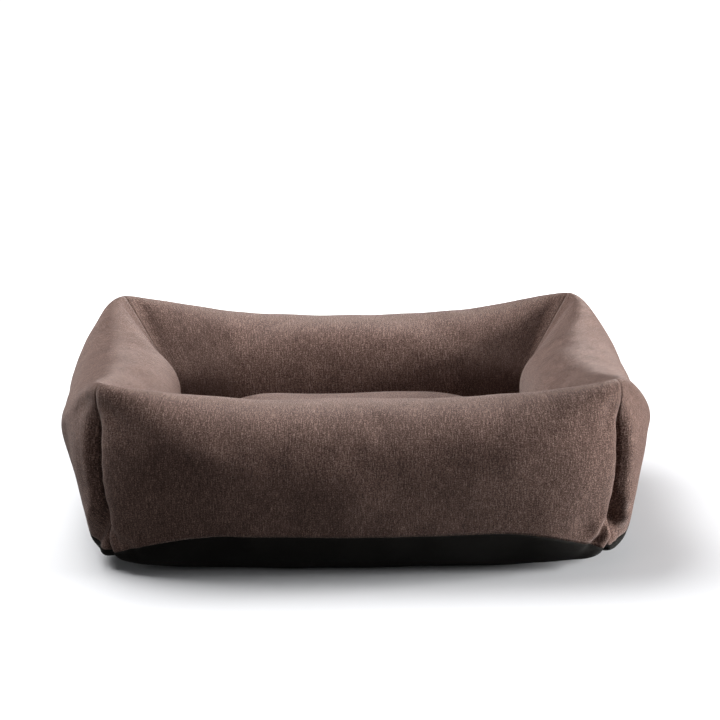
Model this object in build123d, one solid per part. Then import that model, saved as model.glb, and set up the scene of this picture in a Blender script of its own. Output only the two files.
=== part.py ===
from build123d import *
import math
import os

# Box-shaped pet bed of sewn fabric, in millimetres. +Z is up, -Y is the front and the origin is on the
# floor under the middle of the bed. Four stuffed walls meet at mitred corner seams that stand up as ears.
# Each wall is a fabric cover over a stuffed ticking bag. One black base panel closes all four walls from
# below, a zip lies in its seam at the back, and a loose crowned cushion with a zip of its own fills the well.

# Plan of the bed
corner_spacing_x = 530.0  # between the left and right outer corner seams
corner_spacing_y = 430.0  # between the front and back outer corner seams
wall_bulge = 45.0  # how far a wall bows out past its corner seams
corner_run = 135.0  # length at each end of a wall in which it narrows to its corner seam
wall_thickness = 120.0
mitre_thickness = 66.0  # from an outer corner seam to the well's corner, along X and along Y

# Heights and roundness of a wall
crest_height = 174.0
ear_height = 200.0
crest_flat = 14.0  # width of the level strip along the crest
base_radius = 56.0  # belly of the wall where the black base panel wraps it
base_setback = 7.0  # how far the belly stays inside the fullest part of the wall
corner_base_radius = 6.0
corner_base_lift = 14.0  # how far an outer bottom corner is off the floor
ear_radius = 8.0
mitre_shoulder_radius = 20.0
mitre_shoulder_height = 128.0

# Cloth and its slack
fabric = 1.2
seam_gap = 0.1  # between a cover's foot and the base panel it is sewn to
ticking = 0.6
cover_slack = 0.4  # between the cover and the bag inside it
fill_slack = 0.3  # between the bag and its filling
bag_end_station = 0.97  # where a bag stops, as a share of the corner run
bag_end_seam = 0.015  # what the bag's closed end takes up of that share
lining_gap = 0.3
lift_gap = 0.3  # between the cushion and the lining it rests on

# Cushion
cushion_gap = 6.0  # between the cushion and the walls round it
cushion_seam_height = 52.0
cushion_crown = 125.0
cushion_shoulder = 110.0  # width over which the cushion rises from its edge to its crown
cushion_top_steps = 6
zip_facet_angle = 40.0  # the flat back bevel that carries the cushion's zip, in degrees
bevel_angle = 65.0
cushion_zip_share = 0.6  # where the zip lies on that bevel, measured down from the edge seam

# Coil zips
bed_zip_length = 230.0
cushion_zip_length = 190.0
slot_half_width = 5.5  # half the opening between the fabric edges
slot_end_room = 5.0
tape_half_width = 8.0
tape_end_room = 7.5
tape_thickness = 0.6
tape_depth = 0.8  # from the fabric's inner face to the tape
chain_parting = 0.7  # from the zip's centreline to each half of the chain
coil_width = 2.3
coil_height = 2.1
coil_round = 0.7
stop_length = 2.6
stop_gap = 0.6
stop_width = 2.6
stop_height = 2.4

# Zip slider and pull
plate_length = 11.0
plate_width = 9.6
plate_thickness = 1.0
plate_corner = 1.6
plate_gap = 0.3  # from the chain and tapes to each plate
post_width = 0.8
post_length = 3.0
bridge_length = 7.6
bridge_width = 2.4
bridge_bar = 1.0
bridge_opening = 2.1
bag_groove_gap = 0.4
pull_bar_radius = 0.6
pull_width = 6.4
pull_arm = 1.2
pull_eye = 5.0  # from the cross-bar's axis to the far end of the eye
bed_pull_length = 24.0
cushion_pull_length = 18.0
pull_grip_width = 1.4  # how much wider the grip is than the eye

half_x = corner_spacing_x / 2
half_y = corner_spacing_y / 2
knots = [0.0, 0.2, 0.4, 0.6, 0.8, 1.0]  # stations along a corner run where the wall's section is set
bag_inset = fabric + cover_slack
bag_inner_inset = bag_inset + ticking
fill_inset = bag_inner_inset + fill_slack
slider_travel_margin = plate_length / 2 + stop_gap


def blend(start, end, share):
    """The value that lies that share of the way from start to end."""
    return start + (end - start) * share


def knot_section(share, half_length, half_width):
    """Sizes of a wall's cross-section at that share of the corner run, as a dict.

    The plan is in the wall's own directions: a runs along the wall and b outwards. The section lies in the
    upright plane from the outer line to the inner line, with q measured inwards from the outer line.
    """
    arc_radius = (corner_run**2 + wall_bulge**2) / (2 * wall_bulge)
    turn = share * math.asin(corner_run / arc_radius)
    outer_a = half_length - corner_run + arc_radius * math.sin(turn)
    outer_b = half_width + wall_bulge - arc_radius * (1 - math.cos(turn))
    inner_a = blend(half_length - corner_run, half_length - mitre_thickness, share)
    inner_b = blend(half_width + wall_bulge - wall_thickness, half_width - mitre_thickness, share)
    rise = share**1.5
    crest_radius = (wall_thickness - crest_flat) / 2
    top = blend(crest_height, ear_height, rise)
    outer_radius = blend(crest_radius, ear_radius, share)
    inner_radius = blend(crest_radius, mitre_shoulder_radius, share)
    return {
        "outer_a": outer_a,
        "outer_b": outer_b,
        "inner_a": inner_a,
        "inner_b": inner_b,
        "belly_radius": blend(base_radius, corner_base_radius, share),
        "belly_lift": blend(0.0, corner_base_lift, share**2),
        "belly_setback": blend(base_setback, 0.0, share),
        "outer_radius": outer_radius,
        "outer_top": top,
        "inner_radius": inner_radius,
        "inner_top": blend(crest_height, mitre_shoulder_height, rise),
    }


def tangent_normal(first, first_radius, second, second_radius, side):
    """Unit normal of the line that touches two circles: side 1 is left of the way from first to second."""
    along = second - first
    direction = along.normalized()
    across = Vector(-direction.Y, direction.X) * side
    cosine = (first_radius - second_radius) / along.length
    return direction * cosine + across * math.sqrt(1 - cosine**2)


class Section:
    """A wall's cross-section at a station: a belly circle, two crest circles and a square inner foot."""

    def __init__(self, share, half_length, half_width, side):
        step = min(int(share * (len(knots) - 1)), len(knots) - 2)
        local = (share - knots[step]) / (knots[step + 1] - knots[step])
        low = knot_section(knots[step], half_length, half_width)
        high = knot_section(knots[step + 1], half_length, half_width)
        size = {name: blend(low[name], high[name], local) for name in low}
        self.side = side
        self.outer = Vector(size["outer_a"], size["outer_b"])
        inward = Vector(size["inner_a"], size["inner_b"]) - self.outer
        self.depth = inward.length
        self.inward = inward.normalized()
        belly, outer, inner = size["belly_radius"], size["outer_radius"], size["inner_radius"]
        self.belly = Vector(size["belly_setback"] + belly, size["belly_lift"] + belly)
        self.crest_outer = Vector(outer, size["outer_top"] - outer)
        self.crest_inner = Vector(self.depth - inner, size["inner_top"] - inner)
        self.radii = belly, outer, inner
        self.face_normal = tangent_normal(self.belly, belly, self.crest_outer, outer, 1)
        self.crest_normal = tangent_normal(self.crest_outer, outer, self.crest_inner, inner, 1)
        self.under_normal = tangent_normal(Vector(self.depth, 0), 0, self.belly, belly, 1)

    def place(self, point):
        """A point (q, z) of the section, in the front wall's own place."""
        plan = self.outer + self.inward * point.X
        return Vector(self.side * plan.X, -plan.Y, point.Y)

    def foot(self, face_inset, under_inset):
        """The square inner foot, inset from the well's face and from the underside."""
        reach = self.belly.dot(self.under_normal) + self.radii[0] - under_inset
        q = self.depth - face_inset
        return Vector(q, (reach - self.under_normal.X * q) / self.under_normal.Y)

    def arc(self, centre, radius, start_normal, end_normal):
        middle = (start_normal + end_normal).normalized()
        points = [self.place(centre + normal * radius) for normal in (start_normal, middle, end_normal)]
        return Edge.make_three_point_arc(*points)

    def line(self, start, end):
        return Edge.make_line(self.place(start), self.place(end))

    def belly_edges(self, inset, under_inset_foot):
        """From the foot along the underside and up the belly to the seam with the wall's cover."""
        radius = self.radii[0] - inset
        under = self.belly + self.under_normal * radius
        return [
            self.line(under_inset_foot, under),
            self.arc(self.belly, radius, self.under_normal, self.face_normal),
        ]

    def seam(self, inset):
        return self.belly + self.face_normal * (self.radii[0] - inset)

    def cover_edges(self, inset, foot):
        """From the seam up the outer face, over the crest and down the well's face to the foot."""
        outer, inner = self.radii[1] - inset, self.radii[2] - inset
        well_normal = Vector(1, 0)
        crest_start = self.crest_outer + self.crest_normal * outer
        crest_end = self.crest_inner + self.crest_normal * inner
        return [
            self.line(self.seam(inset), self.crest_outer + self.face_normal * outer),
            self.arc(self.crest_outer, outer, self.face_normal, self.crest_normal),
            self.line(crest_start, crest_end),
            self.arc(self.crest_inner, inner, self.crest_normal, well_normal),
            self.line(self.crest_inner + well_normal * inner, foot),
        ]

    def cover_wire(self):
        """Outline of the cover's cloth, open below, standing on the base panel."""
        outer_foot, inner_foot = self.foot(0, fabric + seam_gap), self.foot(fabric, fabric + seam_gap)
        outside = self.cover_edges(0, outer_foot)
        inside = self.cover_edges(fabric, inner_foot)
        ends = [self.line(outer_foot, inner_foot), self.line(self.seam(fabric), self.seam(0))]
        return Wire(outside + [ends[0]] + inside[::-1] + [ends[1]])

    def base_wire(self):
        """Outline of the base panel's cloth under the wall."""
        outer_foot, upper_foot = self.foot(0, 0), self.foot(0, fabric)
        outside = self.belly_edges(0, outer_foot)
        inside = self.belly_edges(fabric, upper_foot)
        ends = [self.line(self.seam(0), self.seam(fabric)), self.line(upper_foot, outer_foot)]
        return Wire(outside + [ends[0]] + inside[::-1] + [ends[1]])

    def core_wire(self, inset):
        """Closed outline of the whole wall, inset all round."""
        foot = self.foot(inset, inset)
        return Wire(self.belly_edges(inset, foot) + self.cover_edges(inset, foot))


def wall_sections(half_length, half_width, end_share=1.0):
    """The wall's stations from its left end to its right end."""
    shares = [share for share in knots if share < end_share] + [end_share]
    left = [Section(share, half_length, half_width, -1) for share in reversed(shares)]
    right = [Section(share, half_length, half_width, 1) for share in shares]
    return left + right


def wall_body(sections, outline):
    return Solid.make_loft([outline(section) for section in sections], ruled=True)


def wall_core(half_length, half_width, inset, end_share):
    sections = wall_sections(half_length, half_width, end_share)
    return wall_body(sections, lambda section: section.core_wire(inset))


def well_outline(gap, share_x=1.0, share_y=1.0):
    """The well's twelve plan points, moved in by a gap and then shrunk, anticlockwise from the front right."""
    corner = Vector(half_x - mitre_thickness - gap, half_y - mitre_thickness - gap)
    long_side = Vector(half_x - corner_run, half_y + wall_bulge - wall_thickness - gap)
    short_side = Vector(half_x + wall_bulge - wall_thickness - gap, half_y - corner_run)
    quarter = [(long_side.X, -long_side.Y), (corner.X, -corner.Y), (short_side.X, -short_side.Y)]
    quarter += [(x, -y) for x, y in reversed(quarter)]
    points = quarter + [(-x, y) for x, y in reversed(quarter)]
    return [(x * share_x, y * share_y) for x, y in points]


def outline_wire(points, height):
    return Wire.make_polygon([Vector(x, y, height) for x, y in points], close=True)


def sheet(points, height, thickness):
    return Solid.extrude(Face(outline_wire(points, height)), Vector(0, 0, thickness))


def cushion_level(angle, inset):
    """Plan shares and height of the cushion's surface at that angle: -90 is its flat bottom, 90 its crown."""
    turn = math.radians(angle)
    rise = cushion_crown - cushion_seam_height if angle > 0 else cushion_seam_height - cushion_bottom
    pulled_in = inset + (cushion_shoulder - inset) * (1 - math.cos(turn))
    corner_x = half_x - mitre_thickness - cushion_gap
    corner_y = half_y - mitre_thickness - cushion_gap
    height = cushion_seam_height + (rise - inset) * math.sin(turn)
    return (corner_x - pulled_in) / corner_x, (corner_y - pulled_in) / corner_y, height


def cushion_body(inset):
    """The cushion's closed, crowned form, inset all round."""
    crown_angles = [90.0 * step / cushion_top_steps for step in range(1, cushion_top_steps + 1)]
    angles = [-90.0, -bevel_angle, -zip_facet_angle, 0.0] + crown_angles
    wires = []
    for angle in angles:
        share_x, share_y, height = cushion_level(angle, inset)
        wires.append(outline_wire(well_outline(cushion_gap, share_x, share_y), height))
    return Solid.make_loft(wires, ruled=True)


def zip_box(length, width, low, high):
    """A box along a zip, in the zip's own directions, from low to high along its outward normal."""
    return Pos(0, 0, (low + high) / 2) * Box(length, width, high - low)


tape_top = -(fabric + tape_depth)
tape_bottom = tape_top - tape_thickness
coil_top = tape_top + coil_height
top_plate_low = coil_top + plate_gap
top_plate_high = top_plate_low + plate_thickness
bottom_plate_high = tape_bottom - plate_gap
bottom_plate_low = bottom_plate_high - plate_thickness
pull_axis_height = top_plate_high + bridge_opening / 2
cutter_reach = 5.0  # how far a cutter stands clear of the fabric


def zip_slot(length):
    """What is cut out of the fabric for a zip."""
    return zip_box(length + 2 * slot_end_room, 2 * slot_half_width, tape_bottom, cutter_reach)


def zip_groove(length, deeper):
    """The groove that a zip presses into the bag behind it."""
    room = 2 * (tape_end_room + bag_groove_gap + deeper)
    width = 2 * (tape_half_width + bag_groove_gap + deeper)
    return zip_box(length + room, width, bottom_plate_low - bag_groove_gap - deeper, cutter_reach)


def zip_tape(length, side):
    width = tape_half_width - chain_parting
    tape = zip_box(length + 2 * tape_end_room, width, tape_bottom, tape_top)
    return Pos(0, side * (chain_parting + width / 2), 0) * tape


def zip_coil(length, side):
    bar = zip_box(length, coil_width, tape_top, coil_top)
    bar = fillet(bar.edges().filter_by(Axis.X).group_by(Axis.Z)[-1], coil_round)
    return Pos(0, side * (chain_parting + coil_width / 2), 0) * bar


def zip_stops(length):
    """Two clamps at the closed end, one on each tape, and one across both tapes at the other end."""
    place = length / 2 + stop_gap + stop_length / 2
    clamp = zip_box(stop_length, stop_width, tape_top, tape_top + stop_height)
    across = zip_box(stop_length, 2 * (chain_parting + stop_width), tape_top, tape_top + stop_height)
    solids = [Pos(place, side * (chain_parting + stop_width / 2), 0) * clamp for side in (-1, 1)]
    return solids + [Pos(-place, 0, 0) * across]


def zip_slider():
    """Two plates joined by a post between the chain's halves, with a bridge for the pull on the outer one."""
    outer_plate = zip_box(plate_length, plate_width, top_plate_low, top_plate_high)
    inner_plate = zip_box(plate_length, plate_width, bottom_plate_low, bottom_plate_high)
    plates = [fillet(plate.edges().filter_by(Axis.Z), plate_corner) for plate in (outer_plate, inner_plate)]
    post = zip_box(post_length, post_width, bottom_plate_high, top_plate_low)
    post = Pos((plate_length - post_length) / 2 - plate_corner, 0, 0) * post
    bridge_low = top_plate_high + bridge_opening
    bar = zip_box(bridge_length, bridge_width, bridge_low, bridge_low + bridge_bar)
    leg = zip_box(bridge_bar, bridge_width, top_plate_high, bridge_low)
    legs = [Pos(end * (bridge_length - bridge_bar) / 2, 0, 0) * leg for end in (-1, 1)]
    return plates[0] + plates[1] + post + bar + legs[0] + legs[1]


def zip_pull(length):
    """A flat pull whose eye's cross-bar runs under the slider's bridge."""
    axis = Pos(0, 0, pull_axis_height)
    bar = axis * Rot(90, 0, 0) * Cylinder(pull_bar_radius, pull_width)
    arms = [
        axis
        * Pos(-pull_eye / 2, side * (pull_width - pull_arm) / 2, 0)
        * Box(pull_eye, pull_arm, 2 * pull_bar_radius)
        for side in (-1, 1)
    ]
    grip_length = length - pull_eye
    grip = Box(grip_length, pull_width + pull_grip_width, 2 * pull_bar_radius)
    grip = fillet(grip.edges().filter_by(Axis.Z), pull_width / 4)
    grip = axis * Pos(-pull_eye - grip_length / 2, 0, 0) * grip
    return bar + arms[0] + arms[1] + grip


def zip_pieces(name, plane, length, pull_length):
    """Every piece of one zip, closed, in its place on the bed. The slider stands at the closed end."""
    slider_place = Pos(length / 2 - slider_travel_margin, 0, 0)
    pieces = {
        f"{name}_zip_upper_tape": [zip_tape(length, 1)],
        f"{name}_zip_lower_tape": [zip_tape(length, -1)],
        f"{name}_zip_upper_coil": [zip_coil(length, 1)],
        f"{name}_zip_lower_coil": [zip_coil(length, -1)],
        f"{name}_zip_stops": zip_stops(length),
        f"{name}_zip_slider": [slider_place * zip_slider()],
        f"{name}_zip_pull": [slider_place * zip_pull(pull_length)],
    }
    return {node: [plane.location * solid for solid in solids] for node, solids in pieces.items()}


def bed_zip_plane():
    """Where the bed's zip lies: on the back wall's seam, along X, facing out."""
    section = Section(0.0, half_x, half_y, 1)
    seam = section.place(section.seam(0))
    normal = section.place(section.seam(0) + section.face_normal) - seam
    return Plane((0, -seam.Y, seam.Z), x_dir=(-1, 0, 0), z_dir=(0, -normal.Y, normal.Z))


def cushion_zip_plane():
    """Where the cushion's zip lies: on the flat bevel under its back edge, along X, facing out and down."""
    edge = well_outline(cushion_gap)[0][1]
    share_y, bevel_height = cushion_level(-zip_facet_angle, 0)[1:]
    drop = Vector(0, -edge * (share_y - 1), bevel_height - cushion_seam_height)
    centre = Vector(0, -edge, cushion_seam_height) + drop * cushion_zip_share
    return Plane(centre, x_dir=(-1, 0, 0), z_dir=(0, -drop.Z, drop.Y))


lining_top = 2 * fabric
cushion_bottom = lining_top + lift_gap


def build_walls(pieces, zip_plane):
    """The four covers with their bags and fillings, and the base panel that closes them from below."""
    sides = {
        "front": (0, half_x, half_y),
        "right": (90, half_y, half_x),
        "back": (180, half_x, half_y),
        "left": (270, half_y, half_x),
    }
    base = sheet(well_outline(0), 0, fabric)
    for name, (turn, half_length, half_width) in sides.items():
        sections = wall_sections(half_length, half_width)
        turned = Rot(0, 0, turn)
        cover = turned * wall_body(sections, Section.cover_wire)
        base += turned * wall_body(sections, Section.base_wire)
        inner_end = bag_end_station - bag_end_seam
        bag = turned * wall_core(half_length, half_width, bag_inset, bag_end_station)
        bag_inside = turned * wall_core(half_length, half_width, bag_inner_inset, inner_end)
        fill = turned * wall_core(half_length, half_width, fill_inset, inner_end - bag_end_seam)
        if name == "back":
            cover -= zip_plane.location * zip_slot(bed_zip_length)
            bag -= zip_plane.location * zip_groove(bed_zip_length, 0)
            bag_inside -= zip_plane.location * zip_groove(bed_zip_length, ticking)
            fill -= zip_plane.location * zip_groove(bed_zip_length, ticking + fill_slack)
        pieces[f"{name}_wall_cover"] = [cover]
        pieces[f"{name}_bolster_bag"] = [bag - bag_inside]
        pieces[f"{name}_bolster_fill"] = [fill]
    pieces["base_panel"] = [base - zip_plane.location * zip_slot(bed_zip_length)]
    pieces["well_lining"] = [sheet(well_outline(lining_gap), fabric, fabric)]


def build_cushion(pieces, zip_plane):
    """The cushion's two cover panels, its ticking bag and its filling."""
    slot = zip_plane.location * zip_slot(cushion_zip_length)
    shell = cushion_body(0) - cushion_body(fabric) - slot
    edge_plane = Plane.XY.offset(cushion_seam_height)
    pieces["cushion_top_cover"] = [split(shell, bisect_by=edge_plane, keep=Keep.TOP)]
    pieces["cushion_bottom_cover"] = [split(shell, bisect_by=edge_plane, keep=Keep.BOTTOM)]
    bag = cushion_body(bag_inset) - zip_plane.location * zip_groove(cushion_zip_length, 0)
    bag_inside = cushion_body(bag_inner_inset) - zip_plane.location * zip_groove(cushion_zip_length, ticking)
    fill_groove = zip_plane.location * zip_groove(cushion_zip_length, ticking + fill_slack)
    pieces["cushion_bag"] = [bag - bag_inside]
    pieces["cushion_fill"] = [cushion_body(fill_inset) - fill_groove]


def build():
    pieces = {}
    bed_plane, cushion_plane = bed_zip_plane(), cushion_zip_plane()
    build_walls(pieces, bed_plane)
    build_cushion(pieces, cushion_plane)
    pieces.update(zip_pieces("bed", bed_plane, bed_zip_length, bed_pull_length))
    pieces.update(zip_pieces("cushion", cushion_plane, cushion_zip_length, cushion_pull_length))
    return pieces


def write(pieces):
    os.makedirs("parts", exist_ok=True)
    for node, shapes in pieces.items():
        solids = [solid for shape in shapes for solid in shape.solids()]
        export_step(solids[0] if len(solids) == 1 else Compound(children=solids), f"parts/{node}.step")


if __name__ == "__main__":
    write(build())
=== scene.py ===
import math

import bmesh
import bpy
import numpy as np
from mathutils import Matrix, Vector, noise


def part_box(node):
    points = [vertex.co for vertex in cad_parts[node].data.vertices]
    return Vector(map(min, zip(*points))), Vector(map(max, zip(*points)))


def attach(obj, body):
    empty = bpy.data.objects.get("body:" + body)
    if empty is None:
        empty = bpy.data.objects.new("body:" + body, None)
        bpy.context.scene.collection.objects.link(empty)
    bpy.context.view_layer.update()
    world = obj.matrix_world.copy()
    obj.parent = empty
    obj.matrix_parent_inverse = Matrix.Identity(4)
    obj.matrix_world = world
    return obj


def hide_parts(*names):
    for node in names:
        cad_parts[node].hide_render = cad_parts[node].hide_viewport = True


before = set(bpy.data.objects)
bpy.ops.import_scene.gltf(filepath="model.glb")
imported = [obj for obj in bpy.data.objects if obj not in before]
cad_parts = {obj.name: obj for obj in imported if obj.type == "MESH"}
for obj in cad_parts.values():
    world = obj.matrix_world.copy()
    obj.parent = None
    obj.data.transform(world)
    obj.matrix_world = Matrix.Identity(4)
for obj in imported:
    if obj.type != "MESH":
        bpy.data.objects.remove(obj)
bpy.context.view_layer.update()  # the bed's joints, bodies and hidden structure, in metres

bpy.ops.object.select_all(action="DESELECT")
scene = bpy.context.scene

# ---------------------------------------------------------------------------------------------------------
# Camera: a long lens looking a little down on the front of the bed, from a touch to its left.
camera_azimuth = math.radians(-2.0)
camera_height = math.radians(13.5)
camera_distance = 2.9
camera_aim = Vector((0.0078, 0.0, 0.1705))
camera_back = Vector((
    math.sin(camera_azimuth) * math.cos(camera_height),
    -math.cos(camera_azimuth) * math.cos(camera_height),
    math.sin(camera_height),
))
bpy.ops.object.camera_add(location=camera_aim + camera_back * camera_distance)
camera = bpy.context.object
camera.rotation_euler = camera_back.to_track_quat("Z", "Y").to_euler()
camera.data.lens = 133.9
camera.data.sensor_width = 36.0
camera.data.clip_end = 50.0
scene.camera = camera

# ---------------------------------------------------------------------------------------------------------
# Studio: a pale floor that runs out into a white backdrop, one wide soft light overhead, a little behind
# and to the left, one low on the right and a weak one at the front left. The surroundings are dim.
scene.view_settings.view_transform = "Standard"
scene.view_settings.look = "None"


def new_material(name):
    """A new material, with its nodes, its links and its shader."""
    material = bpy.data.materials.new(name)
    material.use_nodes = True
    nodes = material.node_tree.nodes
    return material, nodes, material.node_tree.links, nodes["Principled BSDF"]


def set_inputs(node, values):
    for name, value in values.items():
        node.inputs[name].default_value = value


bpy.ops.mesh.primitive_plane_add(size=3.6, location=(0, 0, 0))
floor = bpy.context.object
floor.name = "studio_floor"
floor_paint, nodes, links, floor_shader = new_material("studio floor paint")
seen_floor = nodes.new("ShaderNodeLightPath").outputs["Is Camera Ray"]
floor_shade = nodes.new("ShaderNodeMix")
floor_shade.data_type = "RGBA"
set_inputs(floor_shade, {"A": (0.13, 0.125, 0.12, 1), "B": (0.63, 0.633, 0.645, 1)})
links.new(seen_floor, floor_shade.inputs["Factor"])
links.new(floor_shade.outputs["Result"], floor_shader.inputs["Base Color"])
floor_reach = nodes.new("ShaderNodeVectorMath")
floor_reach.operation = "LENGTH"
links.new(nodes.new("ShaderNodeTexCoord").outputs["Object"], floor_reach.inputs[0])
floor_fade = nodes.new("ShaderNodeMapRange")
set_inputs(floor_fade, {"From Min": 0.45, "From Max": 1.3})
links.new(floor_reach.outputs["Value"], floor_fade.inputs["Value"])
floor_glow = nodes.new("ShaderNodeMath")
floor_glow.operation = "MULTIPLY"
links.new(floor_fade.outputs["Result"], floor_glow.inputs[0])
links.new(seen_floor, floor_glow.inputs[1])
links.new(floor_glow.outputs[0], floor_shader.inputs["Emission Color"])
set_inputs(floor_shader, {"Emission Strength": 1.0, "Roughness": 0.9, "Specular IOR Level": 0.1})
floor.data.materials.append(floor_paint)

world = bpy.data.worlds.new("studio surroundings")
world.use_nodes = True
scene.world = world
nodes, links = world.node_tree.nodes, world.node_tree.links
dim = nodes["Background"]
set_inputs(dim, {"Color": (0.9, 0.93, 1.0, 1), "Strength": 0.09})
white = nodes.new("ShaderNodeBackground")
set_inputs(white, {"Color": (1, 1, 1, 1), "Strength": 1.1})
dim_or_white = nodes.new("ShaderNodeMixShader")
links.new(nodes.new("ShaderNodeLightPath").outputs["Is Camera Ray"], dim_or_white.inputs[0])
links.new(dim.outputs[0], dim_or_white.inputs[1])
links.new(white.outputs[0], dim_or_white.inputs[2])
links.new(dim_or_white.outputs[0], nodes["World Output"].inputs[0])


def soft_light(name, place, size, power, aim=(0, 0, 0.05)):
    bpy.ops.object.light_add(type="AREA", location=place)
    light = bpy.context.object
    light.name = name
    light.data.shape = "RECTANGLE"
    light.data.size, light.data.size_y = size
    light.data.energy = power
    light.rotation_euler = (Vector(place) - Vector(aim)).to_track_quat("Z", "Y").to_euler()


soft_light("overhead_light", (-1.0, 0.6, 2.2), (2.2, 1.9), 122)
soft_light("right_light", (2.7, -0.22, 0.6), (1.2, 0.9), 196)
soft_light("left_fill_light", (-2.2, -1.8, 0.9), (1.4, 1.2), 9)

# ---------------------------------------------------------------------------------------------------------
# Cloths. A wool-like tweed of mottled brown yarns with pale slubs, a black base cloth, a dark lining and a
# close pale ticking. One node group weaves them all, from coordinates in metres that run along the yarns.


def weave_group():
    """Node group that gives a woven cloth's colour mask, with painted shade across each yarn, and height
    from coordinates along its yarns.
    """
    group = bpy.data.node_groups.new("woven cloth", "ShaderNodeTree")
    face = group.interface
    face.new_socket("Vector", in_out="INPUT", socket_type="NodeSocketVector")
    for name, value in (("Yarn width", 0.0012), ("Slubs", 0.5), ("Mottle", 0.5)):
        face.new_socket(name, in_out="INPUT", socket_type="NodeSocketFloat").default_value = value
    for name in ("Mask", "Height"):
        face.new_socket(name, in_out="OUTPUT", socket_type="NodeSocketFloat")
    nodes, links = group.nodes, group.links
    inputs, outputs = nodes.new("NodeGroupInput"), nodes.new("NodeGroupOutput")

    def math_node(operation, *values):
        node = nodes.new("ShaderNodeMath")
        node.operation = operation
        for place, value in zip(node.inputs, values):
            if isinstance(value, (int, float)):
                place.default_value = value
            else:
                links.new(value, place)
        return node.outputs[0]

    def add(first, second):
        return math_node("ADD", first, second)

    def times(first, second):
        return math_node("MULTIPLY", first, second)

    def about(middle, value):
        return math_node("SUBTRACT", value, middle)

    def ridge_of(yarns):
        return math_node("ABSOLUTE", math_node("SINE", times(yarns, math.pi)))

    def speckle(stretch_u, stretch_v, detail, seed):
        mapping = nodes.new("ShaderNodeMapping")
        set_inputs(mapping, {"Scale": (stretch_u, stretch_v, 1), "Location": (seed, seed * 1.7, 0)})
        links.new(scaled.outputs[0], mapping.inputs["Vector"])
        texture = nodes.new("ShaderNodeTexNoise")
        texture.noise_dimensions = "2D"
        set_inputs(texture, {"Scale": 1.0, "Detail": detail})
        links.new(mapping.outputs[0], texture.inputs["Vector"])
        return texture.outputs["Fac"]

    scaled = nodes.new("ShaderNodeVectorMath")
    scaled.operation = "DIVIDE"
    links.new(inputs.outputs["Vector"], scaled.inputs[0])
    width = nodes.new("ShaderNodeCombineXYZ")
    width.inputs["Z"].default_value = 1
    for axis in "XY":
        links.new(inputs.outputs["Yarn width"], width.inputs[axis])
    links.new(width.outputs[0], scaled.inputs[1])
    parts = nodes.new("ShaderNodeSeparateXYZ")
    links.new(scaled.outputs[0], parts.inputs[0])
    across, along = parts.outputs[0], parts.outputs[1]

    # Yarns cross over and under: each is a ridge that rises where it lies on top.
    crossing = add(math_node("FLOOR", across), math_node("FLOOR", along))
    over = math_node("MODULO", math_node("ABSOLUTE", crossing), 2)
    under = math_node("SUBTRACT", 1, over)
    ridge = add(times(over, ridge_of(across)), times(under, ridge_of(along)))

    # Each yarn is spun from light and dark fibre, so its colour changes in short lengths along it. Pale
    # slubs, streaks of several yarns and wide faint clouds lie over that. Painted shade darkens the dips
    # between yarns, and painted light makes the yarn tops paler.
    fibre = add(times(over, speckle(1.0, 0.42, 2.0, 3.1)), times(under, speckle(0.42, 1.0, 2.0, 8.7)))
    slub_peak, slub_share = 3.0, 2.6
    slub = times(math_node("POWER", speckle(0.7, 0.11, 1.0, 21.3), slub_peak), slub_share)
    warp_streak_share, weft_streak_share = 0.24, 0.14
    middle_streak = 0.195
    warp_streak = times(speckle(0.6, 0.07, 1.0, 55.7), warp_streak_share)
    weft_streak = times(speckle(0.08, 0.6, 1.0, 67.9), weft_streak_share)
    streak = about(middle_streak, add(warp_streak, weft_streak))
    cloud_share = 0.25
    cloud = times(about(0.5, speckle(0.04, 0.02, 3.0, 40.9)), cloud_share)
    middle_shade, dip_painted_shade, ridge_painted_light, fibre_relief = 0.42, 0.6, 0.55, 0.7
    mottled = times(add(about(0.5, fibre), streak), inputs.outputs["Mottle"])
    mask = add(add(mottled, middle_shade), add(times(slub, inputs.outputs["Slubs"]), cloud))
    # Painted shade and light: the colour is darkened in the dips between yarns and made paler on the yarn
    # tops.
    mask = times(mask, add(dip_painted_shade, times(ridge, ridge_painted_light)))
    links.new(mask, outputs.inputs["Mask"])
    links.new(add(ridge, times(fibre, fibre_relief)), outputs.inputs["Height"])
    return group


woven_cloth = weave_group()


def along_yarns(nodes, links, from_object):
    """Coordinates along a cloth's yarns: its UV map, or on a tape its place along X and Z."""
    if not from_object:
        uv = nodes.new("ShaderNodeUVMap")
        uv.uv_map = "UVMap"
        return uv.outputs[0]
    apart = nodes.new("ShaderNodeSeparateXYZ")
    together = nodes.new("ShaderNodeCombineXYZ")
    links.new(nodes.new("ShaderNodeTexCoord").outputs["Object"], apart.inputs[0])
    links.new(apart.outputs["X"], together.inputs["X"])
    links.new(apart.outputs["Z"], together.inputs["Y"])
    return together.outputs[0]


def paint(links, mask, ramp, shades, shader):
    """Colours a shader by a mask, from its darkest shade to its palest."""
    while len(ramp.color_ramp.elements) < len(shades):
        ramp.color_ramp.elements.new(0.5)
    for index, (element, shade) in enumerate(zip(ramp.color_ramp.elements, shades)):
        element.position = index / (len(shades) - 1)
        element.color = (*shade, 1)
    links.new(mask, ramp.inputs[0])
    links.new(ramp.outputs[0], shader.inputs["Base Color"])


def emboss(links, height, bump, strength, depth, shader):
    set_inputs(bump, {"Strength": strength, "Distance": depth})
    links.new(height, bump.inputs["Height"])
    links.new(bump.outputs[0], shader.inputs["Normal"])


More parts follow.
